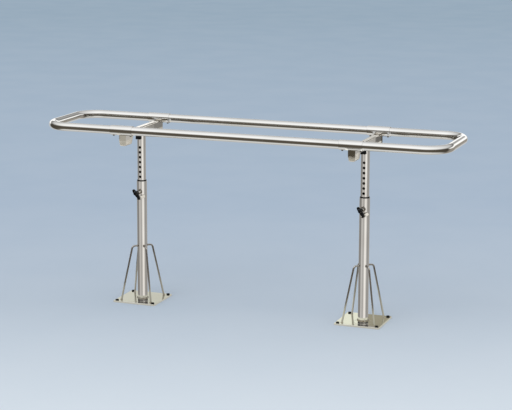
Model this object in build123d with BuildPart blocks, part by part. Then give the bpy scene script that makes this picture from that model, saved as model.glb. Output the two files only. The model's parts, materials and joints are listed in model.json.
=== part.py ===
"""Height-adjustable parallel handrail for walking and standing practice.

A closed loop of polished stainless tube is carried by two telescopic columns. The frame has +X
along the rails, -Y to the front and +Z up. The origin is on the floor, under the middle of the
loop. All sizes are in millimetres.
"""

import os
from math import cos, radians, sin

from build123d import *

os.makedirs("parts", exist_ok=True)

# Rail loop, measured on the tubes' axes
loop_length = 2040
loop_width = 452
rail_height = 905
rail_radius = 21.2
rail_wall = 2.0
bend_radius = 110
joint_gap = 1.0

# Columns
column_spacing = 1175
column_offset = -12
left_x = column_offset - column_spacing / 2
right_x = column_offset + column_spacing / 2
outer_radius = 25.4
outer_bore_radius = 23.9
outer_top = 615
inner_radius = 21.2
inner_bore_radius = 18.2
inner_bottom = 450
running_clearance = 0.08

# Row of index holes in the front of each inner column
hole_step = 25
hole_count = 12
top_hole_height = 788
index_hole_radius = 6.9

# Floor plates and stays
plate_size = 226
plate_thickness = 8
anchor_spacing = 196
anchor_hole_radius = 6
ferrule_radius = 8.5
ferrule_height = 5
stay_radius = 4.5
stay_top = 281
stay_reach = 53
stay_foot_reach = 117
weld_size = 5.5

# Sleeves that join the rails over each column
sleeve_length = 115
sleeve_radius = 24.2
sleeve_bore_radius = 21.25
screw_reach = 45
screw_hole_radius = 3.0
screw_head_radius = 5
screw_head_height = 4.5

# Cross arms, end blocks and column heads
arm_width = 36
arm_wall = 3
arm_bottom = 853
arm_top = 895
arm_half_length = 224
arm_corner_radius = 8
relief_top = 866
relief_slope = 10
block_length = 80
relief_half_length = arm_half_length - block_length
block_height = 28
block_taper = 8
block_edge_radius = 9
spigot_radius = 18.1
spigot_bottom = 806
spigot_plate_thickness = 5
knob_height = 845.5
knob_width = 27.5
knob_corner_radius = 5
knob_back = 27
knob_front = 43
knob_screw_radius = 4
knob_screw_tip = 4

# Index pin and its lever, measured outwards from the column's axis and up from the pin's axis
pin_height = top_hole_height - 9 * hole_step
pin_radius = 6.2
pin_bore_radius = 6.25
pin_tip = 21.9
pin_collar = 34
pin_collar_radius = 6.8
shaft_start = 36
shaft_end = 87
shaft_radius = 3.5
head_start = 84
head_radius = 7.5
housing_radius = 11
housing_end = 56
cap_end = 58
chamber_start = 26.6
chamber_radius = 7
spring_radius = 5.2
spring_wire_radius = 0.6
spring_pitch = 2.3
spring_length = 18.4
lever_lean = 28
lever_tilt = 20.4
pivot_out = 64
pivot_down = 30
pivot_radius = 2.45
pivot_bore_radius = 2.5
lever_length = 52
lever_hub_radius = 5.8
lever_tip_radius = 4.2
lever_half_width = 8
lever_neck_half_width = 6.6
bracket_half_width = 9.8
bracket_slot_half_width = 6.8


def save(built, node):
    """Labels a finished piece and writes it as the node's STEP file."""
    built.part.label = node
    export_step(built.part, f"parts/{node}.step")


def level_plane(x, z):
    """A horizontal plane on a column's axis, at height z."""
    return Plane(origin=(x, 0, z))


def front_plane(x, z):
    """A plane on a column's axis that faces the front, with its own y upwards."""
    return Plane(origin=(x, 0, z), x_dir=(1, 0, 0), z_dir=(0, -1, 0))


def rail_plane(x, y):
    """A plane across a rail, facing +X."""
    return Plane(origin=(x, y, rail_height), x_dir=(0, 1, 0), z_dir=(1, 0, 0))


def lever_side_plane(x):
    """The plane that the lever turns in: its x runs outwards and its y up the leaning lever."""
    lean = radians(lever_lean)
    return Plane(origin=(x, 0, pin_height), x_dir=(0, -1, 0), z_dir=(-cos(lean), 0, -sin(lean)))


def lever_face_plane(x):
    """The plane that faces the front, with its y up the leaning lever."""
    lean = radians(lever_lean)
    return Plane(origin=(x, 0, pin_height), x_dir=(cos(lean), 0, sin(lean)), z_dir=(0, -1, 0))


def end_loop(side, column_x, direction):
    """One end of the loop: a tube with two round bends, open where it enters the sleeves."""
    open_end = column_x + direction * joint_gap / 2
    far_end = direction * loop_length / 2
    half_width = loop_width / 2
    with BuildPart() as loop:
        with BuildLine(Plane.XY.offset(rail_height)) as route:
            FilletPolyline(
                (open_end, -half_width),
                (far_end, -half_width),
                (far_end, half_width),
                (open_end, half_width),
                radius=bend_radius,
            )
        with BuildSketch(rail_plane(open_end, -half_width)):
            Circle(rail_radius)
            Circle(rail_radius - rail_wall, mode=Mode.SUBTRACT)
        sweep(path=route.line)
    save(loop, f"{side}_end_loop")


def middle_rail(place, y):
    """A straight tube between the two columns' sleeves."""
    with BuildPart() as rail:
        with BuildSketch(rail_plane(left_x + joint_gap / 2, y)):
            Circle(rail_radius)
            Circle(rail_radius - rail_wall, mode=Mode.SUBTRACT)
        extrude(amount=column_spacing - joint_gap)
    save(rail, f"{place}_middle_rail")


def rail_sleeve(side, place, x, y):
    """The sleeve that covers a joint in the rail, with two tapped holes underneath."""
    with BuildPart() as sleeve:
        with BuildSketch(rail_plane(x - sleeve_length / 2, y)):
            Circle(sleeve_radius)
            Circle(sleeve_bore_radius, mode=Mode.SUBTRACT)
        extrude(amount=sleeve_length)
        rims = sleeve.edges().filter_by(GeomType.CIRCLE).group_by(SortBy.RADIUS)[-1]
        chamfer(rims, length=0.8)
        with BuildSketch(Plane(origin=(x, y, rail_height), z_dir=(0, 0, -1))):
            with GridLocations(2 * screw_reach, 1, 2, 1):
                Circle(screw_hole_radius)
        extrude(amount=sleeve_radius + 1, mode=Mode.SUBTRACT)
    save(sleeve, f"{side}_{place}_sleeve")


def sleeve_screws(side, x):
    """The set screws under both sleeves of one column, as separate solids."""
    head_top = rail_height - sleeve_radius
    shank_length = sleeve_radius - rail_radius - 0.1
    shank_radius = screw_hole_radius - 0.05
    socket_depth = 2.5
    with BuildPart() as screws:
        with BuildSketch(level_plane(x, head_top - screw_head_height)):
            with GridLocations(2 * screw_reach, loop_width, 2, 2):
                Circle(screw_head_radius)
        extrude(amount=screw_head_height)
        rims = screws.edges().group_by(Axis.Z)[0]
        fillet(rims, radius=1.5)
        with BuildSketch(level_plane(x, head_top)):
            with GridLocations(2 * screw_reach, loop_width, 2, 2):
                Circle(shank_radius)
        extrude(amount=shank_length)
        with BuildSketch(level_plane(x, head_top - screw_head_height)):
            with GridLocations(2 * screw_reach, loop_width, 2, 2):
                RegularPolygon(radius=2.3, side_count=6)
        extrude(amount=socket_depth, mode=Mode.SUBTRACT)
    save(screws, f"{side}_sleeve_screws")


def cross_arm(side, x):
    """A folded channel, open below, whose ends are cut round to take the sleeves."""
    middle = (arm_bottom + arm_top) / 2
    height = arm_top - arm_bottom
    inner_width = arm_width - 2 * arm_wall
    inner_radius_of_corner = arm_corner_radius - arm_wall
    with BuildPart() as arm:
        with BuildSketch(front_plane(x, middle)):
            RectangleRounded(arm_width, height, arm_corner_radius)
            with Locations((0, -height / 4)):
                Rectangle(arm_width, height / 2)
            RectangleRounded(
                inner_width,
                height - 2 * arm_wall,
                inner_radius_of_corner,
                mode=Mode.SUBTRACT,
            )
            with Locations((0, -height / 2)):
                Rectangle(inner_width, height, mode=Mode.SUBTRACT)
        extrude(amount=arm_half_length, both=True)
        for end in (-1, 1):
            end_plane = Plane(
                origin=(x, end * arm_half_length, middle),
                x_dir=(1, 0, 0),
                z_dir=(0, -1, 0),
            )
            with BuildSketch(end_plane):
                RectangleRounded(arm_width, height, arm_corner_radius)
                with Locations((0, -height / 4)):
                    Rectangle(arm_width, height / 2)
            extrude(amount=end * arm_wall)
        side_plane = Plane(origin=(x, 0, 0), x_dir=(0, 1, 0), z_dir=(1, 0, 0))
        with BuildSketch(side_plane):
            with BuildLine():
                Polyline(
                    (-relief_half_length, arm_bottom - 1),
                    (-relief_half_length, arm_bottom),
                    (-relief_half_length + relief_slope, relief_top),
                    (relief_half_length - relief_slope, relief_top),
                    (relief_half_length, arm_bottom),
                    (relief_half_length, arm_bottom - 1),
                    close=True,
                )
            make_face()
            with Locations((-loop_width / 2, rail_height), (loop_width / 2, rail_height)):
                Circle(sleeve_radius)
        extrude(amount=arm_width, both=True, mode=Mode.SUBTRACT)
    save(arm, f"{side}_cross_arm")


def end_block(side, place, x, direction):
    """A pressed tray with sloping sides that closes the underside of an arm's end."""
    middle = direction * (arm_half_length - block_length / 2)
    mouth = Plane(origin=(x, middle, arm_bottom), x_dir=(1, 0, 0), z_dir=(0, 0, -1))
    with BuildPart() as block:
        with BuildSketch(mouth):
            Rectangle(arm_width, block_length)
        extrude(amount=block_height, taper=block_taper)
        lowest = block.faces().sort_by(Axis.Z)[0]
        fillet(lowest.edges(), radius=block_edge_radius)
        with BuildSketch(mouth):
            Rectangle(arm_width - 2 * arm_wall, block_length - 2 * arm_wall)
        extrude(amount=block_height - 2 * arm_wall, taper=block_taper, mode=Mode.SUBTRACT)
    save(block, f"{side}_{place}_end_block")


def arm_spigot(side, x):
    """The stud under the arm that stands in the inner column, with its square plate."""
    spigot_top = arm_top - arm_corner_radius
    square_plate_length = 60
    screw_clearance = 0.05
    with BuildPart() as spigot:
        with BuildSketch(level_plane(x, spigot_bottom)):
            Circle(spigot_radius)
        extrude(amount=spigot_top - spigot_bottom)
        chamfer(spigot.edges().group_by(Axis.Z)[0], length=1.5)
        with BuildSketch(level_plane(x, relief_top)):
            Rectangle(arm_width - 2 * arm_wall, square_plate_length)
        extrude(amount=spigot_plate_thickness)
        flat = arm_width / 2 - arm_wall
        with BuildSketch(level_plane(x, relief_top)):
            Rectangle(4 * flat, 4 * flat)
            Rectangle(2 * flat, 4 * flat, mode=Mode.SUBTRACT)
        extrude(amount=arm_top - relief_top, mode=Mode.SUBTRACT)
        with BuildSketch(front_plane(x, knob_height)):
            Circle(knob_screw_radius + screw_clearance)
        extrude(amount=spigot_radius + 1, mode=Mode.SUBTRACT)
    save(spigot, f"{side}_arm_spigot")


def head_knob(side, x):
    """A square grip knob on the front of the column's head, and the screw it turns."""
    finger_radius = 26
    finger_depth = 1.2
    front_wall = 6
    thread_depth = knob_front - front_wall - inner_radius
    neck_gap = 0.6
    neck_start = inner_radius + neck_gap
    neck_radius = 8
    with BuildPart() as knob:
        with BuildSketch(front_plane(x, knob_height).offset(knob_back)):
            RectangleRounded(knob_width, knob_width, knob_corner_radius)
            with PolarLocations(knob_width / 2 + finger_radius - finger_depth, 4):
                Circle(finger_radius, mode=Mode.SUBTRACT)
        extrude(amount=knob_front - knob_back)
        front_rim = knob.faces().sort_by(Axis.Y)[0].edges()
        fillet(front_rim, radius=1.5)
        with BuildSketch(front_plane(x, knob_height).offset(neck_start)):
            Circle(neck_radius)
        extrude(amount=knob_back - neck_start)
        with BuildSketch(front_plane(x, knob_height).offset(inner_radius)):
            Circle(knob_screw_radius)
        extrude(amount=thread_depth, mode=Mode.SUBTRACT)
    save(knob, f"{side}_head_knob")

    with BuildPart() as screw:
        with BuildSketch(front_plane(x, knob_height).offset(knob_screw_tip)):
            Circle(knob_screw_radius)
        extrude(amount=inner_radius + thread_depth - knob_screw_tip)
        chamfer(screw.edges().group_by(Axis.Y)[-1], length=0.8)
    save(screw, f"{side}_knob_screw")


def inner_column(side, x):
    """The sliding tube, with a row of index holes in its front wall."""
    index_middle = top_hole_height - (hole_count - 1) * hole_step / 2
    with BuildPart() as column:
        with BuildSketch(level_plane(x, inner_bottom)):
            Circle(inner_radius)
            Circle(inner_bore_radius, mode=Mode.SUBTRACT)
        extrude(amount=relief_top - inner_bottom)
        with BuildSketch(front_plane(x, index_middle)):
            with GridLocations(1, hole_step, 1, hole_count):
                Circle(index_hole_radius)
        extrude(amount=inner_radius + 1, mode=Mode.SUBTRACT)
        with BuildSketch(front_plane(x, knob_height)):
            Circle(knob_screw_radius + 0.5)
        extrude(amount=inner_radius + 1, mode=Mode.SUBTRACT)
    save(column, f"{side}_inner_column")


def column_glide(side, x):
    """The nylon ring on the foot of the inner column, which runs in the outer one."""
    lip = 4
    ring_height = 34
    with BuildPart() as glide:
        with BuildSketch(level_plane(x, inner_bottom - lip)):
            Circle(outer_bore_radius - running_clearance)
            Circle(inner_bore_radius, mode=Mode.SUBTRACT)
        extrude(amount=ring_height)
        with BuildSketch(level_plane(x, inner_bottom)):
            Circle(inner_radius)
        extrude(amount=ring_height, mode=Mode.SUBTRACT)
    save(glide, f"{side}_column_glide")


def outer_column(side, x):
    """The fixed tube that stands on the floor plate, with the pin's hole near its top."""
    with BuildPart() as column:
        with BuildSketch(level_plane(x, plate_thickness)):
            Circle(outer_radius)
            Circle(outer_bore_radius, mode=Mode.SUBTRACT)
        extrude(amount=outer_top - plate_thickness)
        with BuildSketch(front_plane(x, pin_height)):
            Circle(pin_bore_radius)
        extrude(amount=outer_radius + 1, mode=Mode.SUBTRACT)
    save(column, f"{side}_outer_column")


def guide_collar(side, x):
    """The black guide bush pressed into the outer column, standing a little proud of its mouth."""
    rim_height = 6
    rim_radius = outer_bore_radius - 0.7
    bush_depth = 40
    with BuildPart() as collar:
        with BuildSketch(level_plane(x, outer_top)):
            Circle(rim_radius)
        extrude(amount=rim_height)
        fillet(collar.edges().group_by(Axis.Z)[-1], radius=1.5)
        with BuildSketch(level_plane(x, outer_top - bush_depth)):
            Circle(outer_bore_radius)
        extrude(amount=bush_depth)
        with BuildSketch(level_plane(x, outer_top - bush_depth)):
            Circle(inner_radius + running_clearance)
        extrude(amount=bush_depth + rim_height, mode=Mode.SUBTRACT)
    save(collar, f"{side}_guide_collar")


def base_plate(side, x):
    """The square floor plate with a hole for an anchor at each corner."""
    with BuildPart() as plate:
        with BuildSketch(level_plane(x, 0)):
            RectangleRounded(plate_size, plate_size, 4)
            with GridLocations(anchor_spacing, anchor_spacing, 2, 2):
                Circle(anchor_hole_radius, mode=Mode.SUBTRACT)
        extrude(amount=plate_thickness)
        top_face = plate.faces().sort_by(Axis.Z)[-1]
        chamfer(top_face.outer_wire().edges(), length=0.8)
    save(plate, f"{side}_base_plate")


def anchor_ferrules(side, x):
    """The black collars that stand round the anchor holes, as separate solids."""
    with BuildPart() as ferrules:
        with BuildSketch(level_plane(x, plate_thickness)):
            with GridLocations(anchor_spacing, anchor_spacing, 2, 2):
                Circle(ferrule_radius)
                Circle(anchor_hole_radius + 0.4, mode=Mode.SUBTRACT)
        extrude(amount=ferrule_height)
        rims = ferrules.edges().group_by(Axis.Z)[-1].filter_by(
            lambda edge: edge.radius > anchor_hole_radius + 1
        )
        fillet(rims, radius=1.2)
    save(ferrules, f"{side}_anchor_ferrules")


def foot_weld(side, x):
    """The weld bead round the foot of the outer column."""
    crown = 0.62 * weld_size
    with BuildPart() as bead:
        with BuildSketch(front_plane(x, plate_thickness)):
            with BuildLine():
                Polyline(
                    (outer_radius, 0),
                    (outer_radius + weld_size, 0),
                    (outer_radius + crown, crown),
                    (outer_radius, weld_size),
                    close=True,
                )
            make_face()
        revolve(axis=Axis((x, 0, 0), (0, 0, 1)))
    save(bead, f"{side}_foot_weld")


def stay_rods(side, x):
    """Four bent round bars from the column's side down to the plate's corners."""
    bend = 16
    root_depth = 4
    margin = 10
    with BuildPart() as rods:
        for turn in (45, 135, 225, 315):
            outward = Vector(cos(radians(turn)), sin(radians(turn)), 0)
            along = Plane(origin=(x, 0, 0), x_dir=outward, z_dir=outward.cross(Vector(0, 0, 1)))
            with BuildLine(along) as route:
                FilletPolyline(
                    (outer_radius - root_depth, stay_top),
                    (stay_reach, stay_top),
                    (stay_foot_reach, 0),
                    radius=bend,
                )
            with BuildSketch(Plane(origin=route.line @ 0, z_dir=route.line % 0)):
                Circle(stay_radius)
            sweep(path=route.line)
        with BuildSketch(level_plane(x, -margin)):
            Rectangle(plate_size, plate_size)
        extrude(amount=plate_thickness + margin, mode=Mode.SUBTRACT)
        with BuildSketch(level_plane(x, 0)):
            Circle(outer_radius)
        extrude(amount=stay_top + margin, mode=Mode.SUBTRACT)
    save(rods, f"{side}_stay_rods")


def pin_housing(side, x):
    """The turned housing on the front of the outer column, and the cap that closes it."""
    with BuildPart() as housing:
        with BuildSketch(front_plane(x, pin_height)):
            Circle(housing_radius)
        extrude(amount=housing_end)
        with BuildSketch(front_plane(x, pin_height)):
            Circle(pin_bore_radius)
        extrude(amount=housing_end, mode=Mode.SUBTRACT)
        with BuildSketch(front_plane(x, pin_height).offset(chamber_start)):
            Circle(chamber_radius)
        extrude(amount=housing_end - chamber_start, mode=Mode.SUBTRACT)
        with BuildSketch(level_plane(x, pin_height - 2 * housing_radius)):
            Circle(outer_radius)
        extrude(amount=4 * housing_radius, mode=Mode.SUBTRACT)
    save(housing, f"{side}_pin_housing")

    with BuildPart() as cap:
        with BuildSketch(front_plane(x, pin_height).offset(housing_end)):
            Circle(housing_radius)
            Circle(shaft_radius + 0.05, mode=Mode.SUBTRACT)
        extrude(amount=cap_end - housing_end)
        chamfer(cap.edges().group_by(Axis.Y)[0].sort_by(SortBy.RADIUS)[-1], length=0.6)
    save(cap, f"{side}_housing_cap")


def index_pin(side, x):
    """The index pin, drawn back clear of the inner column, with the button that holds it."""
    with BuildPart() as pin:
        with BuildSketch(front_plane(x, pin_height).offset(pin_tip)):
            Circle(pin_radius)
        extrude(amount=pin_collar - pin_tip)
        chamfer(pin.edges().group_by(Axis.Y)[-1], length=0.8)
        with BuildSketch(front_plane(x, pin_height).offset(pin_collar)):
            Circle(pin_collar_radius)
        extrude(amount=shaft_start - pin_collar)
        with BuildSketch(front_plane(x, pin_height).offset(shaft_start)):
            Circle(shaft_radius)
        extrude(amount=shaft_end - shaft_start)
    save(pin, f"{side}_index_pin")

    with BuildPart() as button:
        with BuildSketch(front_plane(x, pin_height).offset(head_start)):
            Circle(head_radius)
        extrude(amount=shaft_end - head_start + 1)
        fillet(button.edges().group_by(Axis.Y)[0], radius=1.2)
        with BuildSketch(front_plane(x, pin_height).offset(head_start)):
            Circle(shaft_radius)
        extrude(amount=shaft_end - head_start, mode=Mode.SUBTRACT)
    save(button, f"{side}_pin_button")


def pin_spring(side, x):
    """The coil spring between the pin's collar and the housing's cap."""
    first_turn = shaft_start + spring_wire_radius + 0.1
    with BuildPart() as spring:
        with BuildLine() as coil:
            Helix(
                pitch=spring_pitch,
                height=spring_length,
                radius=spring_radius,
                center=(x, -first_turn, pin_height),
                direction=(0, -1, 0),
            )
        with BuildSketch(Plane(origin=coil.line @ 0, z_dir=coil.line % 0)):
            Circle(spring_wire_radius)
        sweep(path=coil.line, is_frenet=True)
    save(spring, f"{side}_pin_spring")


def lever_bracket(side, x):
    """The forked bracket below the housing, with the pin that the lever turns on."""
    half_height = 7
    slot_length = 24
    below_pin = 80
    with BuildPart() as bracket:
        with BuildSketch(lever_side_plane(x)):
            with Locations((pivot_out / 2, -pivot_down)):
                Rectangle(pivot_out, 2 * half_height)
            with Locations((pivot_out, -pivot_down)):
                Circle(half_height)
        extrude(amount=bracket_half_width, both=True)
        with BuildSketch(lever_side_plane(x)):
            with Locations((pivot_out, -pivot_down)):
                Rectangle(slot_length, 4 * half_height)
        extrude(amount=bracket_slot_half_width, both=True, mode=Mode.SUBTRACT)
        with BuildSketch(lever_side_plane(x)):
            with Locations((pivot_out, -pivot_down)):
                Circle(pivot_bore_radius)
        extrude(amount=2 * bracket_half_width, both=True, mode=Mode.SUBTRACT)
        with BuildSketch(level_plane(x, pin_height - below_pin)):
            Circle(outer_radius)
        extrude(amount=1.5 * below_pin, mode=Mode.SUBTRACT)
    save(bracket, f"{side}_lever_bracket")

    head_thickness = 1.5
    pivot_head_radius = 4
    with BuildPart() as pivot:
        with BuildSketch(lever_side_plane(x)):
            with Locations((pivot_out, -pivot_down)):
                Circle(pivot_radius)
        extrude(amount=bracket_half_width, both=True)
        for end in (-1, 1):
            with BuildSketch(lever_side_plane(x).offset(end * bracket_half_width)):
                with Locations((pivot_out, -pivot_down)):
                    Circle(pivot_head_radius)
            extrude(amount=end * head_thickness)
    save(pivot, f"{side}_lever_pivot")


def release_lever(side, x):
    """The black finger lever. Its slot straddles the pin's shaft behind the button."""
    neck_end = -20.5
    shoulder_start = -15.5
    shoulder_end = 10
    tip_corner = (6, 17)
    tip_side = (4.1, 21.4)
    tip_top = (0, 23.4)
    slot_length = 20
    slot_clearance = 0.6
    tilt = radians(lever_tilt)
    tip = (pivot_out + lever_length * sin(tilt), -pivot_down + lever_length * cos(tilt))
    with BuildPart() as lever:
        with BuildSketch(lever_side_plane(x)):
            with Locations((pivot_out, -pivot_down)):
                Circle(lever_hub_radius)
            with Locations(tip):
                Circle(lever_tip_radius)
            make_hull()
        extrude(amount=lever_half_width, both=True)
        with BuildSketch(lever_face_plane(x).offset(pivot_out / 2)):
            with BuildLine() as outline:
                Polyline(
                    (0, -lever_length),
                    (lever_neck_half_width, -lever_length),
                    (lever_neck_half_width, neck_end),
                    (lever_half_width, shoulder_start),
                    (lever_half_width, shoulder_end),
                    tip_corner,
                )
                ThreePointArc(tip_corner, tip_side, tip_top)
                mirror(outline.line, about=Plane.YZ)
            make_face()
        extrude(amount=pivot_out, mode=Mode.INTERSECT)
        with BuildSketch(lever_face_plane(x).offset(pivot_out / 2)):
            SlotOverall(slot_length, 2 * shaft_radius + slot_clearance, rotation=90)
        extrude(amount=pivot_out, mode=Mode.SUBTRACT)
        with BuildSketch(lever_side_plane(x)):
            with Locations((pivot_out, -pivot_down)):
                Circle(pivot_bore_radius)
        extrude(amount=lever_half_width + 1, both=True, mode=Mode.SUBTRACT)
    save(lever, f"{side}_release_lever")


for side, x, direction in (("left", left_x, -1), ("right", right_x, 1)):
    base_plate(side, x)
    anchor_ferrules(side, x)
    outer_column(side, x)
    foot_weld(side, x)
    stay_rods(side, x)
    guide_collar(side, x)
    pin_housing(side, x)
    index_pin(side, x)
    pin_spring(side, x)
    lever_bracket(side, x)
    release_lever(side, x)
    inner_column(side, x)
    column_glide(side, x)
    arm_spigot(side, x)
    head_knob(side, x)
    cross_arm(side, x)
    sleeve_screws(side, x)
    end_loop(side, x, direction)
    for place, end in (("front", -1), ("rear", 1)):
        end_block(side, place, x, end)
        rail_sleeve(side, place, x, end * loop_width / 2)

for place, end in (("front", -1), ("rear", 1)):
    middle_rail(place, end * loop_width / 2)
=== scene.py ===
"""Looks for the parallel walking handrail: polished steel, black plastic, weld beads and a studio.

Everything is in metres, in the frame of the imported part: +X along the rails, -Y to the front
and +Z up.
"""

import json
from math import asin, atan2, cos, degrees, pi, radians, sin, sqrt

import bmesh
import bpy
from mathutils import Matrix, Vector


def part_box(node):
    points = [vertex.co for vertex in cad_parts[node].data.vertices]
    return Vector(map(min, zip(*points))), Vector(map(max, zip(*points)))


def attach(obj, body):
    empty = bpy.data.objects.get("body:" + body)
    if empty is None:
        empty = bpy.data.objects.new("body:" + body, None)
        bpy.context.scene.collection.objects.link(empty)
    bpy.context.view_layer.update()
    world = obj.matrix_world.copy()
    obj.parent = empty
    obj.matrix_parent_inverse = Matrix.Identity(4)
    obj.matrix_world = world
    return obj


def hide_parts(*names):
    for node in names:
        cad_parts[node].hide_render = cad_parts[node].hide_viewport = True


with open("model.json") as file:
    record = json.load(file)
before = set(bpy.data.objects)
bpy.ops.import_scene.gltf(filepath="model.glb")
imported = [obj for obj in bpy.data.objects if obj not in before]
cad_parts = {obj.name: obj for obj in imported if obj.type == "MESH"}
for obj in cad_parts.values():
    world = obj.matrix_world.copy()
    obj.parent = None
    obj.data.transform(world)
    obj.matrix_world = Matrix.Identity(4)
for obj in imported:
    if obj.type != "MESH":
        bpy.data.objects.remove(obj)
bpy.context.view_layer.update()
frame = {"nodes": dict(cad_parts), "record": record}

scene = bpy.context.scene
sides = ("left", "right")


# ---------------------------------------------------------------- sizes read from the frame


def middle(node):
    """The middle of a CAD node's box."""
    low, high = (Vector(corner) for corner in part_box(node))
    return (low + high) / 2


def extent(node):
    """The size of a CAD node's box."""
    low, high = (Vector(corner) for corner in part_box(node))
    return high - low


column_x = {side: middle(f"{side}_outer_column").x for side in sides}
column_radius = extent("left_outer_column").x / 2
inner_column_radius = extent("left_inner_column").x / 2
plate_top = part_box("left_base_plate")[1][2]
housing_radius = extent("left_housing_cap").x / 2
pin_height = middle("left_housing_cap").z
sleeve_radius = extent("left_front_sleeve").z / 2
rail_height = middle("left_front_sleeve").z
rail_y = middle("left_rear_sleeve").y
arm_half_width = extent("left_cross_arm").x / 2
arm_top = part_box("left_cross_arm")[1][2]
arm_half_length = extent("left_cross_arm").y / 2

stay_radius = 0.0045
stay_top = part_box("left_stay_rods")[1][2] - stay_radius
stay_foot_reach = 0.1152


# ---------------------------------------------------------------- shader nodes


def add(tree, kind, **values):
    """Adds a shader node. Values are set on its inputs by name, or linked if they are sockets."""
    made = tree.nodes.new(kind)
    for name, value in values.items():
        put(tree, made.inputs[name.replace("_", " ")], value)
    return made


def put(tree, socket, value):
    """Links another node's output to a socket, or sets a plain value on it."""
    if isinstance(value, bpy.types.NodeSocket):
        tree.links.new(value, socket)
    else:
        socket.default_value = value


def calculate(tree, operation, first, second=0.0, clamp=False):
    """A math node's result."""
    made = tree.nodes.new("ShaderNodeMath")
    made.operation = operation
    made.use_clamp = clamp
    put(tree, made.inputs[0], first)
    put(tree, made.inputs[1], second)
    return made.outputs[0]


def remap(tree, value, low, high, to_low, to_high):
    """A value moved smoothly from one range to another."""
    made = tree.nodes.new("ShaderNodeMapRange")
    made.interpolation_type = "SMOOTHSTEP"
    for socket, number in zip(made.inputs, (value, low, high, to_low, to_high)):
        put(tree, socket, number)
    return made.outputs[0]


def remap_linear(tree, value, low, high, to_low, to_high):
    """A value moved from one range to another and kept inside it."""
    made = tree.nodes.new("ShaderNodeMapRange")
    for socket, number in zip(made.inputs, (value, low, high, to_low, to_high)):
        put(tree, socket, number)
    return made.outputs[0]


def blend_colours(tree, factor, first, second, blend_type="MIX"):
    """A mix of two colours."""
    made = tree.nodes.new("ShaderNodeMix")
    made.data_type = "RGBA"
    made.blend_type = blend_type
    put(tree, made.inputs[0], factor)
    put(tree, made.inputs[6], first if isinstance(first, bpy.types.NodeSocket) else (*first, 1))
    put(tree, made.inputs[7], second if isinstance(second, bpy.types.NodeSocket) else (*second, 1))
    return made.outputs[2]


def noise(tree, size, detail=3.0, stretch=(1, 1, 1), roughness=0.5):
    """Noise over the object, with features of that size in metres, stretched along the axes."""
    place = add(tree, "ShaderNodeTexCoord").outputs["Object"]
    scale = tuple(1 / (size * factor) for factor in stretch)
    mapped = add(tree, "ShaderNodeMapping", Vector=place, Scale=scale).outputs[0]
    return add(
        tree,
        "ShaderNodeTexNoise",
        Vector=mapped,
        Scale=1.0,
        Detail=detail,
        Roughness=roughness,
    ).outputs[0]


def new_material(name):
    """A material with an empty node tree, its tree and its surface shader."""
    material = bpy.data.materials.new(name)
    material.use_nodes = True
    tree = material.node_tree
    tree.nodes.clear()
    shader = tree.nodes.new("ShaderNodeBsdfPrincipled")
    output = tree.nodes.new("ShaderNodeOutputMaterial")
    tree.links.new(shader.outputs[0], output.inputs[0])
    return material, tree, shader


def bump(tree, height, strength, distance, below=None):
    """A bump from a height field, on top of another bump."""
    made = add(tree, "ShaderNodeBump", Height=height, Strength=strength, Distance=distance)
    if below is not None:
        tree.links.new(below, made.inputs["Normal"])
    return made.outputs[0]


# ---------------------------------------------------------------- materials


def steel(name, bright, dull, gloss, grain, grain_strength=0.05, wave_strength=0.0):
    """Polished stainless steel: fine lines along the grain, handling marks and soft clouding."""
    material, tree, shader = new_material(name)
    lines = noise(tree, 0.0007, detail=2, stretch=grain)
    marks = noise(tree, 0.035, detail=6, roughness=0.65)
    clouds = noise(tree, 0.22, detail=2)
    specks = noise(tree, 0.004, detail=4, roughness=0.7)
    smooth, rough = gloss
    base_rough = remap(tree, marks, 0.42, 0.72, smooth, rough)
    line_rough = remap(tree, lines, 0.35, 0.75, 0.0, 0.035)
    roughness = calculate(tree, "ADD", base_rough, line_rough)
    colour = blend_colours(tree, remap(tree, clouds, 0.3, 0.7, 0, 1), bright, dull)
    worn = blend_colours(tree, remap(tree, specks, 0.66, 0.8, 0, 0.35), colour, dull)
    fine = bump(tree, lines, grain_strength, 0.00004)
    waves = bump(tree, clouds, wave_strength, 0.004, below=fine)
    put(tree, shader.inputs["Base Color"], worn)
    put(tree, shader.inputs["Roughness"], roughness)
    put(tree, shader.inputs["Normal"], waves)
    put(tree, shader.inputs["Metallic"], 1.0)
    return material


def weld_metal(name):
    """A brushed weld bead, straw and brown where the heat tinted it."""
    material, tree, shader = new_material(name)
    tint = noise(tree, 0.012, detail=3)
    grit = noise(tree, 0.0009, detail=3, roughness=0.7)
    heat = remap(tree, tint, 0.35, 0.7, 0, 1)
    tinted = blend_colours(tree, heat, (0.62, 0.60, 0.56), (0.40, 0.33, 0.25))
    put(tree, shader.inputs["Base Color"], tinted)
    put(tree, shader.inputs["Roughness"], remap(tree, grit, 0.3, 0.7, 0.24, 0.46))
    put(tree, shader.inputs["Normal"], bump(tree, grit, 0.35, 0.0002))
    put(tree, shader.inputs["Metallic"], 1.0)
    return material


def moulded(name, colour, dusty, roughness, grain_size):
    """Black plastic with a moulded grain, dust in its hollows and rubbed, shinier patches."""
    material, tree, shader = new_material(name)
    grain = noise(tree, grain_size, detail=4, roughness=0.65)
    dust = noise(tree, 0.009, detail=4)
    low, high = roughness
    mixed = blend_colours(tree, remap(tree, dust, 0.45, 0.75, 0, 0.6), colour, dusty)
    put(tree, shader.inputs["Base Color"], mixed)
    put(tree, shader.inputs["Roughness"], remap(tree, dust, 0.3, 0.7, low, high))
    put(tree, shader.inputs["Normal"], bump(tree, grain, 0.3, 0.00015))
    put(tree, shader.inputs["Specular IOR Level"], 0.25)
    return material


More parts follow.
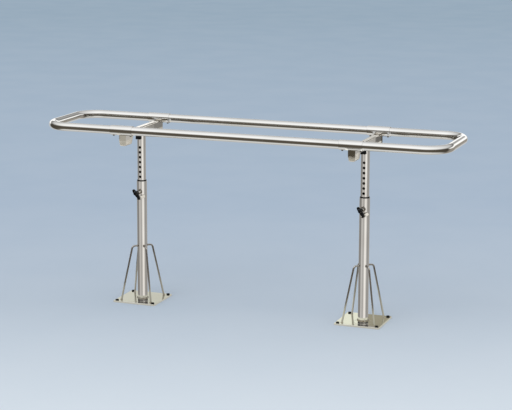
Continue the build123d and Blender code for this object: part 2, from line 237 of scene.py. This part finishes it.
along_x = (60, 1, 1)
along_z = (1, 1, 60)
materials = {
    "rail_steel": steel("rail_steel", (0.86, 0.86, 0.85), (0.80, 0.80, 0.78), (0.045, 0.11), along_x),
    "column_steel": steel("column_steel", (0.84, 0.83, 0.82), (0.78, 0.76, 0.74), (0.10, 0.17), along_z),
    "plate_steel": steel(
        "plate_steel", (0.84, 0.83, 0.79), (0.78, 0.76, 0.71), (0.07, 0.15), along_x, wave_strength=0.05
    ),
    "fitting_steel": steel(
        "fitting_steel", (0.72, 0.69, 0.63), (0.60, 0.57, 0.51), (0.12, 0.24), (1, 60, 1), wave_strength=0.06
    ),
    "rod_steel": steel("rod_steel", (0.56, 0.54, 0.51), (0.46, 0.44, 0.41), (0.32, 0.40), along_z),
    "satin_steel": steel(
        "satin_steel", (0.84, 0.81, 0.76), (0.76, 0.73, 0.67), (0.2, 0.3), (1, 60, 1), wave_strength=0.05
    ),
    "fastener_steel": steel(
        "fastener_steel", (0.70, 0.70, 0.70), (0.58, 0.58, 0.57), (0.16, 0.3), (1, 20, 1)
    ),
    "weld_steel": weld_metal("weld_steel"),
    "black_plastic": moulded(
        "black_plastic", (0.004, 0.004, 0.005), (0.014, 0.014, 0.015), (0.42, 0.6), 0.0006
    ),
    "black_nylon": moulded("black_nylon", (0.006, 0.006, 0.006), (0.016, 0.016, 0.016), (0.46, 0.62), 0.0004),
}

for subpart in frame["record"]["subparts"]:
    cad_object = frame["nodes"][subpart["node"]]
    for material_slot in cad_object.material_slots:
        material_slot.material = materials[subpart["material_slot"]]


# ---------------------------------------------------------------- weld beads


def weld_bead(name, path, radius, ripple, body, closed=True):
    """A weld bead along a path of points: a tube whose overlapping ripples are real geometry."""
    around = 10
    count = len(path)
    travelled = 0.0
    rings = []
    mesh_maker = bmesh.new()
    for index, point in enumerate(path):
        before = path[index - 1] if closed or index > 0 else point
        after = path[(index + 1) % count] if closed or index < count - 1 else point
        heading = (after - before).normalized()
        side = heading.orthogonal() if index == 0 else side - heading * side.dot(heading)
        side.normalize()
        up = heading.cross(side)
        travelled += (point - path[index - 1]).length if index > 0 else 0.0
        phase = (travelled / ripple) % 1.0
        swell = radius * (0.86 + 0.14 * sqrt(phase))
        ring = []
        for step in range(around):
            turn = 2 * pi * step / around
            ring.append(mesh_maker.verts.new(point + side * swell * cos(turn) + up * swell * sin(turn)))
        rings.append(ring)
    spans = count if closed else count - 1
    for index in range(spans):
        one, two = rings[index], rings[(index + 1) % count]
        shift = 0
        if closed and index == count - 1:
            gaps = [(one[0].co - vertex.co).length for vertex in two]
            shift = gaps.index(min(gaps))
        for step in range(around):
            following = (step + 1) % around
            corners = (
                one[step],
                one[following],
                two[(following + shift) % around],
                two[(step + shift) % around],
            )
            mesh_maker.faces.new(corners)
    if not closed:
        mesh_maker.faces.new(list(reversed(rings[0])))
        mesh_maker.faces.new(rings[-1])
    bmesh.ops.recalc_face_normals(mesh_maker, faces=mesh_maker.faces)
    mesh = bpy.data.meshes.new(name)
    mesh_maker.to_mesh(mesh)
    mesh_maker.free()
    for face in mesh.polygons:
        face.use_smooth = True
    bead = bpy.data.objects.new(name, mesh)
    scene.collection.objects.link(bead)
    mesh.materials.append(materials["weld_steel"])
    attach(bead, body)
    return bead


def circle_path(centre, first, second, radius, count):
    """Points of a circle round a centre, in the plane of two unit directions."""
    turns = (2 * pi * step / count for step in range(count))
    return [centre + (first * cos(turn) + second * sin(turn)) * radius for turn in turns]


def foot_bead(side):
    """The bead round the outer column's foot."""
    bead_radius = 0.0029
    centre = Vector((column_x[side], 0, plate_top + 0.0016))
    path = circle_path(centre, Vector((1, 0, 0)), Vector((0, 1, 0)), column_radius + 0.0014, 260)
    bead = weld_bead(f"{side}_foot_bead", path, bead_radius, 0.0032, "stands")
    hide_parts(f"{side}_foot_weld")


def stay_beads(side):
    """A small bead at the top and at the foot of each stay rod."""
    for number in range(4):
        turn = pi / 4 + number * pi / 2
        outward = Vector((cos(turn), sin(turn), 0))
        across = Vector((-sin(turn), cos(turn), 0))
        top = Vector((column_x[side], 0, stay_top)) + outward * (column_radius + 0.0006)
        foot = Vector((column_x[side], 0, plate_top + 0.0004)) + outward * stay_foot_reach
        top_path = circle_path(top, across, Vector((0, 0, 1)), stay_radius + 0.0006, 60)
        foot_path = circle_path(foot, outward, across, stay_radius + 0.0008, 60)
        weld_bead(f"{side}_stay_top_bead_{number + 1}", top_path, 0.0016, 0.0022, "stands")
        weld_bead(f"{side}_stay_foot_bead_{number + 1}", foot_path, 0.0019, 0.0024, "stands")


def housing_bead(side):
    """The bead where the pin housing meets the round wall of the outer column."""
    reach = housing_radius + 0.0005
    path = []
    count = 120
    for step in range(count):
        turn = 2 * pi * step / count
        across = reach * cos(turn)
        out = sqrt(column_radius**2 - across**2) + 0.0004
        path.append(Vector((column_x[side] + across, -out, pin_height + reach * sin(turn))))
    weld_bead(f"{side}_housing_bead", path, 0.0013, 0.0022, "stands")


def arm_beads(side):
    """The beads that join a cross arm to its sleeves: up one wall, over the top and down again."""
    arc_count = 24
    lift = sleeve_radius + 0.0004
    start = asin((rail_height - arm_top) / sleeve_radius)
    for place, direction in (("front", -1), ("rear", 1)):
        arc = []
        for step in range(arc_count + 1):
            turn = radians(84) + (start - radians(84)) * step / arc_count
            away = direction * (rail_y - lift * cos(turn))
            arc.append((away, rail_height - lift * sin(turn)))
        up = [Vector((column_x[side] - arm_half_width, y, z)) for y, z in arc]
        over = [
            Vector((column_x[side] + arm_half_width * (2 * step / 20 - 1), *arc[-1]))
            for step in range(1, 20)
        ]
        down = [Vector((column_x[side] + arm_half_width, y, z)) for y, z in reversed(arc)]
        weld_bead(f"{side}_{place}_arm_bead", up + over + down, 0.0014, 0.0024, "upper_frame", closed=False)


for side in sides:
    foot_bead(side)
    stay_beads(side)
    housing_bead(side)
    arm_beads(side)


# ---------------------------------------------------------------- floor, light cards and world

camera_place = Vector((2.879, -7.605, 2.211))
camera_heading = radians(20.63)
camera_dip = radians(10.24)
camera_roll = radians(0.21)
focal_length = 118.3
camera_shift = -0.0807

# Floor colours from near to far; their darkening with distance is painted shade for the light falling off
# towards the back.
floor_near = (0.66, 0.735, 0.81)
floor_here = (0.48, 0.56, 0.655)
floor_mid = (0.40, 0.49, 0.605)
floor_far = (0.315, 0.41, 0.505)


def plane_mesh(name, corners):
    """A four-sided sheet."""
    mesh = bpy.data.meshes.new(name)
    mesh.from_pydata(corners, [], [tuple(range(len(corners)))])
    sheet = bpy.data.objects.new(name, mesh)
    scene.collection.objects.link(sheet)
    return sheet


def floor():
    """A pale matt floor whose colour darkens slowly away from the light at the front: painted shade, put into
    the floor's colour for the light falling off.
    """
    reach = 60
    corners = [(-reach, -reach, 0), (reach, -reach, 0), (reach, reach, 0), (-reach, reach, 0)]
    sheet = plane_mesh("floor", corners)
    material, tree, shader = new_material("floor")
    place = add(tree, "ShaderNodeTexCoord").outputs["Object"]
    heading = (-sin(camera_heading), cos(camera_heading), 0)
    along = tree.nodes.new("ShaderNodeVectorMath")
    along.operation = "DOT_PRODUCT"
    put(tree, along.inputs[0], place)
    along.inputs[1].default_value = heading
    depth = along.outputs["Value"]
    # Painted shade: the colour darkens with depth away from the front, standing in for the light falling off.
    first = blend_colours(tree, remap_linear(tree, depth, -1.6, 0.1, 0, 1), floor_near, floor_here)
    second = blend_colours(tree, remap_linear(tree, depth, 0.1, 2.6, 0, 1), first, floor_mid)
    third = blend_colours(tree, remap_linear(tree, depth, 2.6, 16, 0, 1), second, floor_far)
    mottle = noise(tree, 0.5, detail=4)
    softened = blend_colours(tree, remap(tree, mottle, 0.3, 0.7, 0, 0.03), third, (0.9, 0.9, 0.9))
    put(tree, shader.inputs["Base Color"], softened)
    put(tree, shader.inputs["Roughness"], 0.9)
    put(tree, shader.inputs["Specular IOR Level"], 0.0)
    sheet.data.materials.append(material)
    sheet.visible_glossy = False


def glow(name):
    """A material for a light card, its tree and its emission shader."""
    material = bpy.data.materials.new(name)
    material.use_nodes = True
    material.cycles.emission_sampling = "NONE"
    tree = material.node_tree
    tree.nodes.clear()
    emission = tree.nodes.new("ShaderNodeEmission")
    output = tree.nodes.new("ShaderNodeOutputMaterial")
    tree.links.new(emission.outputs[0], output.inputs[0])
    return material, tree, emission


def reflection_only(card):
    """The card shows in polished metal and nowhere else."""
    card.visible_camera = False
    card.visible_diffuse = False
    card.visible_transmission = False
    card.visible_volume_scatter = False
    card.visible_shadow = False


warm_grey = (1.0, 0.975, 0.925)
tube_levels = (
    (-1, 0.40), (-0.7, 0.25), (-0.45, 0.65), (-0.15, 0.45), (0.2, 1.05), (0.6, 0.35), (1, 0.48),
)
back_levels = ((-168, 0.55), (168, 0.45))
plate_levels = {
    "left": ((0.69, 0.70, 0.62), (0.66, 0.67, 0.59)),
    "right": ((0.88, 0.90, 0.76), (0.36, 0.34, 0.26)),
}
floor_glow = (0.60, 0.60, 0.56)


def ring_mesh(name, side, radius, low, high):
    """An upright ring round a column, seen only in polished metal."""
    segments = 96
    points, faces = [], []
    for segment in range(segments):
        turn = 2 * pi * segment / segments
        x = column_x[side] + radius * sin(turn)
        y = -radius * cos(turn)
        points += [(x, y, low), (x, y, high)]
    for segment in range(segments):
        first = 2 * segment
        second = 2 * ((segment + 1) % segments)
        faces.append((first, second, second + 1, first + 1))
    mesh = bpy.data.meshes.new(name)
    mesh.from_pydata(points, [], faces)
    ring = bpy.data.objects.new(name, mesh)
    scene.collection.objects.link(ring)
    reflection_only(ring)
    return ring


def ring_place(tree, side, front):
    """The place round a column, from 0 to 1, with 0.5 at a front direction given as an angle."""
    place = add(tree, "ShaderNodeTexCoord").outputs["Object"]
    parts = add(tree, "ShaderNodeSeparateXYZ", Vector=place).outputs
    across = calculate(tree, "SUBTRACT", parts[0], column_x[side])
    forward = calculate(tree, "MULTIPLY", parts[1], -1.0)
    angle = calculate(tree, "ARCTAN2", across, forward)
    turned = calculate(tree, "MULTIPLY", calculate(tree, "SUBTRACT", angle, front), 1 / (2 * pi))
    return calculate(tree, "FRACT", calculate(tree, "ADD", turned, 1.5))


def mirrored_angle(across, tube_radius, ring_radius):
    """Where on a ring a round tube mirrors, in degrees from the front, by the place across the tube."""
    facing = asin(across)
    return degrees(2 * facing - asin(tube_radius / ring_radius * across))


def show_between(tree, emission, nearest, farthest, bounces=9):
    """Makes a light card clear to rays from nearer, from farther or after more bounces than that."""
    paths = tree.nodes.new("ShaderNodeLightPath").outputs
    long_enough = calculate(tree, "GREATER_THAN", paths["Ray Length"], nearest)
    short_enough = calculate(tree, "LESS_THAN", paths["Ray Length"], farthest)
    early_enough = calculate(tree, "LESS_THAN", paths["Ray Depth"], bounces + 0.5)
    in_range = calculate(tree, "MULTIPLY", long_enough, short_enough)
    clear = tree.nodes.new("ShaderNodeBsdfTransparent")
    shown = tree.nodes.new("ShaderNodeMixShader")
    put(tree, shown.inputs[0], calculate(tree, "MULTIPLY", in_range, early_enough))
    put(tree, shown.inputs[1], clear.outputs[0])
    put(tree, shown.inputs[2], emission.outputs[0])
    put(tree, tree.nodes["Material Output"].inputs[0], shown.outputs[0])


def tube_cards(side, tube, tube_radius, low, high):
    """Soft light and dark bands round one tube of a column. They light only that tube."""
    ring_radius = 0.045
    ring = ring_mesh(f"{side}_{tube}_tube_cards", side, ring_radius, low, high)
    material, tree, emission = glow(ring.name)
    front = atan2(camera_place.x - column_x[side], -camera_place.y)
    levels = [
        (mirrored_angle(across, tube_radius, ring_radius), level)
        for across, level in tube_levels
    ]
    levels = [back_levels[0], *levels, back_levels[1]]
    ramp = tree.nodes.new("ShaderNodeValToRGB")
    ramp.color_ramp.interpolation = "EASE"
    stops = ramp.color_ramp.elements
    strength = 1.1
    for index, (angle, level) in enumerate(levels):
        position = (angle + 180) / 360
        stop = stops[index] if index < 2 else stops.new(position)
        stop.position = position
        stop.color = (*(channel * level / strength for channel in warm_grey), 1)
    put(tree, ramp.inputs[0], ring_place(tree, side, front))
    paths = tree.nodes.new("ShaderNodeLightPath").outputs
    seen_in_plate = calculate(tree, "GREATER_THAN", paths["Ray Depth"], 1.5)
    put(tree, emission.inputs["Color"], ramp.outputs[0])
    put(tree, emission.inputs["Strength"], remap_linear(tree, seen_in_plate, 0, 1, strength, 0.35))
    nearest = ring_radius - tube_radius
    farthest = sqrt(ring_radius**2 - tube_radius**2)
    show_between(tree, emission, 0.96 * nearest, 1.1 * farthest)
    ring.data.materials.append(material)


def plate_cards(side):
    """A low ring of light that a floor plate mirrors, and a strip below it for the plate's edges."""
    ring_radius = 0.164
    ring = ring_mesh(f"{side}_plate_cards", side, ring_radius, plate_top + 0.001, 0.085)
    material, tree, emission = glow(ring.name)
    place = ring_place(tree, side, 0.0)
    main, dark = plate_levels[side]
    right_of_back = remap_linear(tree, place, 0.054, 0.062, 1, 0)
    left_of_right = remap_linear(tree, place, 0.84, 0.9, 0, 1)
    darkened = calculate(tree, "MAXIMUM", right_of_back, left_of_right)
    put(tree, emission.inputs["Color"], blend_colours(tree, darkened, main, dark))
    put(tree, emission.inputs["Strength"], 1.0)
    ring.data.materials.append(material)
    strip = ring_mesh(f"{side}_edge_cards", side, ring_radius, -0.06, plate_top)
    material, tree, emission = glow(strip.name)
    put(tree, emission.inputs["Color"], (*floor_glow, 1))
    put(tree, emission.inputs["Strength"], 1.0)
    strip.data.materials.append(material)


def light_card(name, corners, colour, nearest, farthest):
    """A flat card of light that shows in polished metal, and only from those distances."""
    card = plane_mesh(name, corners)
    reflection_only(card)
    material, tree, emission = glow(name)
    put(tree, emission.inputs["Color"], (*colour, 1))
    put(tree, emission.inputs["Strength"], 1.0)
    show_between(tree, emission, nearest, farthest, bounces=1)
    card.data.materials.append(material)


block_nearest = 0.043
block_farthest = 0.085
end_glow = (0.46, 0.45, 0.40)
block_side_glow = {"left": (0.74, 0.72, 0.66), "right": (1.05, 1.04, 0.98)}
arm_end_glow = {"left": (0.52, 0.51, 0.47), "right": (0.10, 0.09, 0.07)}
arm_top_glow = {"left": (1.50, 1.49, 1.46), "right": (0.80, 0.80, 0.77)}
arm_side_glow = {
    "left": ((-0.20, 0.06, 0.62), (0.06, 0.16, 0.45), (0.16, 0.32, 0.31)),
    "right": ((-0.20, 0.17, 0.56), (0.17, 0.34, 0.155)),
}


def block_cards(side, place):
    """Cards close round an end block. They light its sloping sides and the arm's end over it."""
    away = 0.045
    beside = 0.020
    low, high = (Vector(corner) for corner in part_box(f"{side}_{place}_end_block"))
    left, right = low.x - beside, high.x + beside
    front, back = low.y - away, high.y + away
    bottom, split, top = low.z - 0.05, low.z - 0.002, high.z + 0.027
    corners = ((left, front), (right, front), (right, back), (left, back))
    for index in range(4):
        (x1, y1), (x2, y2) = corners[index], corners[(index + 1) % 4]
        at_end = index % 2 == 0
        over = split if at_end else high.z - 0.002
        colour = end_glow if at_end else block_side_glow[side]
        name = f"{side}_{place}_block_card_{index + 1}"
        whole = [(x1, y1, bottom), (x2, y2, bottom), (x2, y2, over), (x1, y1, over)]
        light_card(name, whole, colour, block_nearest, block_farthest)
        outward = (place == "front") == (index == 0)
        if at_end and outward:
            name = f"{side}_{place}_arm_end_card"
            upper = [(x1, y1, split), (x2, y2, split), (x2, y2, top), (x1, y1, top)]
            light_card(name, upper, arm_end_glow[side], block_nearest, block_farthest)


def arm_cards(side):
    """Cards beside a cross arm and one just over it."""
    beside = 0.020
    low = 0.835
    high = arm_top - 0.002
    for direction in (-1, 1):
        x = column_x[side] + direction * (arm_half_width + beside)
        for number, (near, far, level) in enumerate(arm_side_glow[side]):
            corners = [(x, near, low), (x, far, low), (x, far, high), (x, near, high)]
            name = f"{side}_arm_side_card_{number + 1}_{'left' if direction < 0 else 'right'}"
            light_card(name, corners, (level, level, level), 0.04, 0.09)
    overhang = 0.03
    left = column_x[side] - arm_half_width - overhang
    right = column_x[side] + arm_half_width + overhang
    over = arm_top + 0.006
    reach = 0.20
    corners = [(left, -reach, over), (right, -reach, over), (right, reach, over), (left, reach, over)]
    light_card(f"{side}_arm_top_card", corners, arm_top_glow[side], 0.028, 0.06)


sky_colours = (
    (-90, (0.76, 0.755, 0.73)),
    (-57, (0.76, 0.755, 0.73)),
    (-50, (0.32, 0.31, 0.29)),
    (-44, (0.10, 0.088, 0.068)),
    (-6, (0.072, 0.060, 0.046)),
    (14, (0.10, 0.088, 0.072)),
    (23, (0.50, 0.495, 0.48)),
    (34, (0.95, 0.945, 0.935)),
    (90, (1.0, 1.0, 1.0)),
)
backdrop_low = (0.60, 0.61, 0.61)
backdrop_right = (0.33, 0.30, 0.26)
backdrop_high = (1.25, 1.24, 1.22)


def studio_world():
    """Soft light from everywhere, and for polished metal a white ceiling over a dark room."""
    world = bpy.data.worlds.new("studio")
    scene.world = world
    world.use_nodes = True
    world.cycles.sampling_method = "NONE"
    tree = world.node_tree
    tree.nodes.clear()
    direction = add(tree, "ShaderNodeTexCoord").outputs["Generated"]
    parts = add(tree, "ShaderNodeSeparateXYZ", Vector=direction).outputs
    factor = calculate(tree, "ADD", calculate(tree, "MULTIPLY", parts[2], 0.5), 0.5)
    ramp = tree.nodes.new("ShaderNodeValToRGB")
    stops = ramp.color_ramp.elements
    for index, (elevation, colour) in enumerate(sky_colours):
        position = (sin(radians(elevation)) + 1) / 2
        stop = stops[index] if index < 2 else stops.new(position)
        stop.position = position
        stop.color = (*colour, 1)
    put(tree, ramp.inputs[0], factor)
    seen = add(tree, "ShaderNodeBackground", Color=(*floor_far, 1), Strength=1.0)
    front_light = calculate(tree, "ADD", calculate(tree, "MULTIPLY", parts[1], -0.40), 0.92)
    room = blend_colours(tree, 1.0, ramp.outputs[0], front_light, "MULTIPLY")
    behind = remap(tree, parts[1], 0.25, 0.6, 0, 1)
    not_high = remap(tree, parts[2], 0.2, 0.32, 1, 0)
    not_low = remap(tree, parts[2], -0.95, -0.6, 0, 1)
    near_level = calculate(tree, "MULTIPLY", not_high, not_low)
    paths = tree.nodes.new("ShaderNodeLightPath").outputs
    first_bounce = calculate(tree, "LESS_THAN", paths["Ray Depth"], 2.5)
    mask = calculate(tree, "MULTIPLY", calculate(tree, "MULTIPLY", behind, near_level), first_bounce)
    low_part = blend_colours(tree, remap(tree, parts[0], 0.05, 0.25, 0, 1), backdrop_low, backdrop_right)
    backdrop = blend_colours(tree, remap(tree, parts[2], 0.0, 0.12, 0, 1), low_part, backdrop_high)
    whole_room = blend_colours(tree, mask, room, backdrop)
    mirrored = add(tree, "ShaderNodeBackground", Color=whole_room, Strength=1.0)
    soft = add(tree, "ShaderNodeBackground", Color=(1, 1, 1, 1), Strength=0.8)
    lighting = tree.nodes.new("ShaderNodeMixShader")
    put(tree, lighting.inputs[0], paths["Is Glossy Ray"])
    put(tree, lighting.inputs[1], soft.outputs[0])
    put(tree, lighting.inputs[2], mirrored.outputs[0])
    everything = tree.nodes.new("ShaderNodeMixShader")
    put(tree, everything.inputs[0], paths["Is Camera Ray"])
    put(tree, everything.inputs[1], lighting.outputs[0])
    put(tree, everything.inputs[2], seen.outputs[0])
    output = tree.nodes.new("ShaderNodeOutputWorld")
    put(tree, output.inputs[0], everything.outputs[0])


def soft_sun():
    """A wide, weak light from the upper front that lays faint soft shadows behind the stands."""
    light = bpy.data.lights.new("soft_sun", "SUN")
    light.energy = 0.8
    light.angle = radians(50)
    lamp = bpy.data.objects.new("soft_sun", light)
    scene.collection.objects.link(lamp)
    lamp.rotation_euler = (radians(40), 0, radians(-15))
    lamp.visible_glossy = False


def camera():
    """The camera, a long lens to the right of the front and a little above the rails."""
    data = bpy.data.cameras.new("camera")
    data.sensor_width = 36
    data.lens = focal_length
    data.shift_y = camera_shift
    data.clip_end = 200
    viewer = bpy.data.objects.new("camera", data)
    scene.collection.objects.link(viewer)
    forward = Vector((
        -sin(camera_heading) * cos(camera_dip),
        cos(camera_heading) * cos(camera_dip),
        -sin(camera_dip),
    ))
    right = Vector((cos(camera_heading), sin(camera_heading), 0))
    up = right.cross(forward)
    rolled_right = right * cos(camera_roll) + up * sin(camera_roll)
    rolled_up = up * cos(camera_roll) - right * sin(camera_roll)
    turned = Matrix((rolled_right, rolled_up, -forward)).transposed()
    viewer.matrix_world = Matrix.Translation(camera_place) @ turned.to_4x4()
    scene.camera = viewer


floor()
studio_world()
soft_sun()
camera()
for side in sides:
    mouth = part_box(f"{side}_outer_column")[1][2]
    tube_cards(side, "inner", inner_column_radius, mouth + 0.001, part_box(f"{side}_inner_column")[1][2])
    tube_cards(side, "outer", column_radius, plate_top + 0.0095, mouth)
    plate_cards(side)
    arm_cards(side)
    for place in ("front", "rear"):
        block_cards(side, place)
scene.view_settings.view_transform = "Standard"
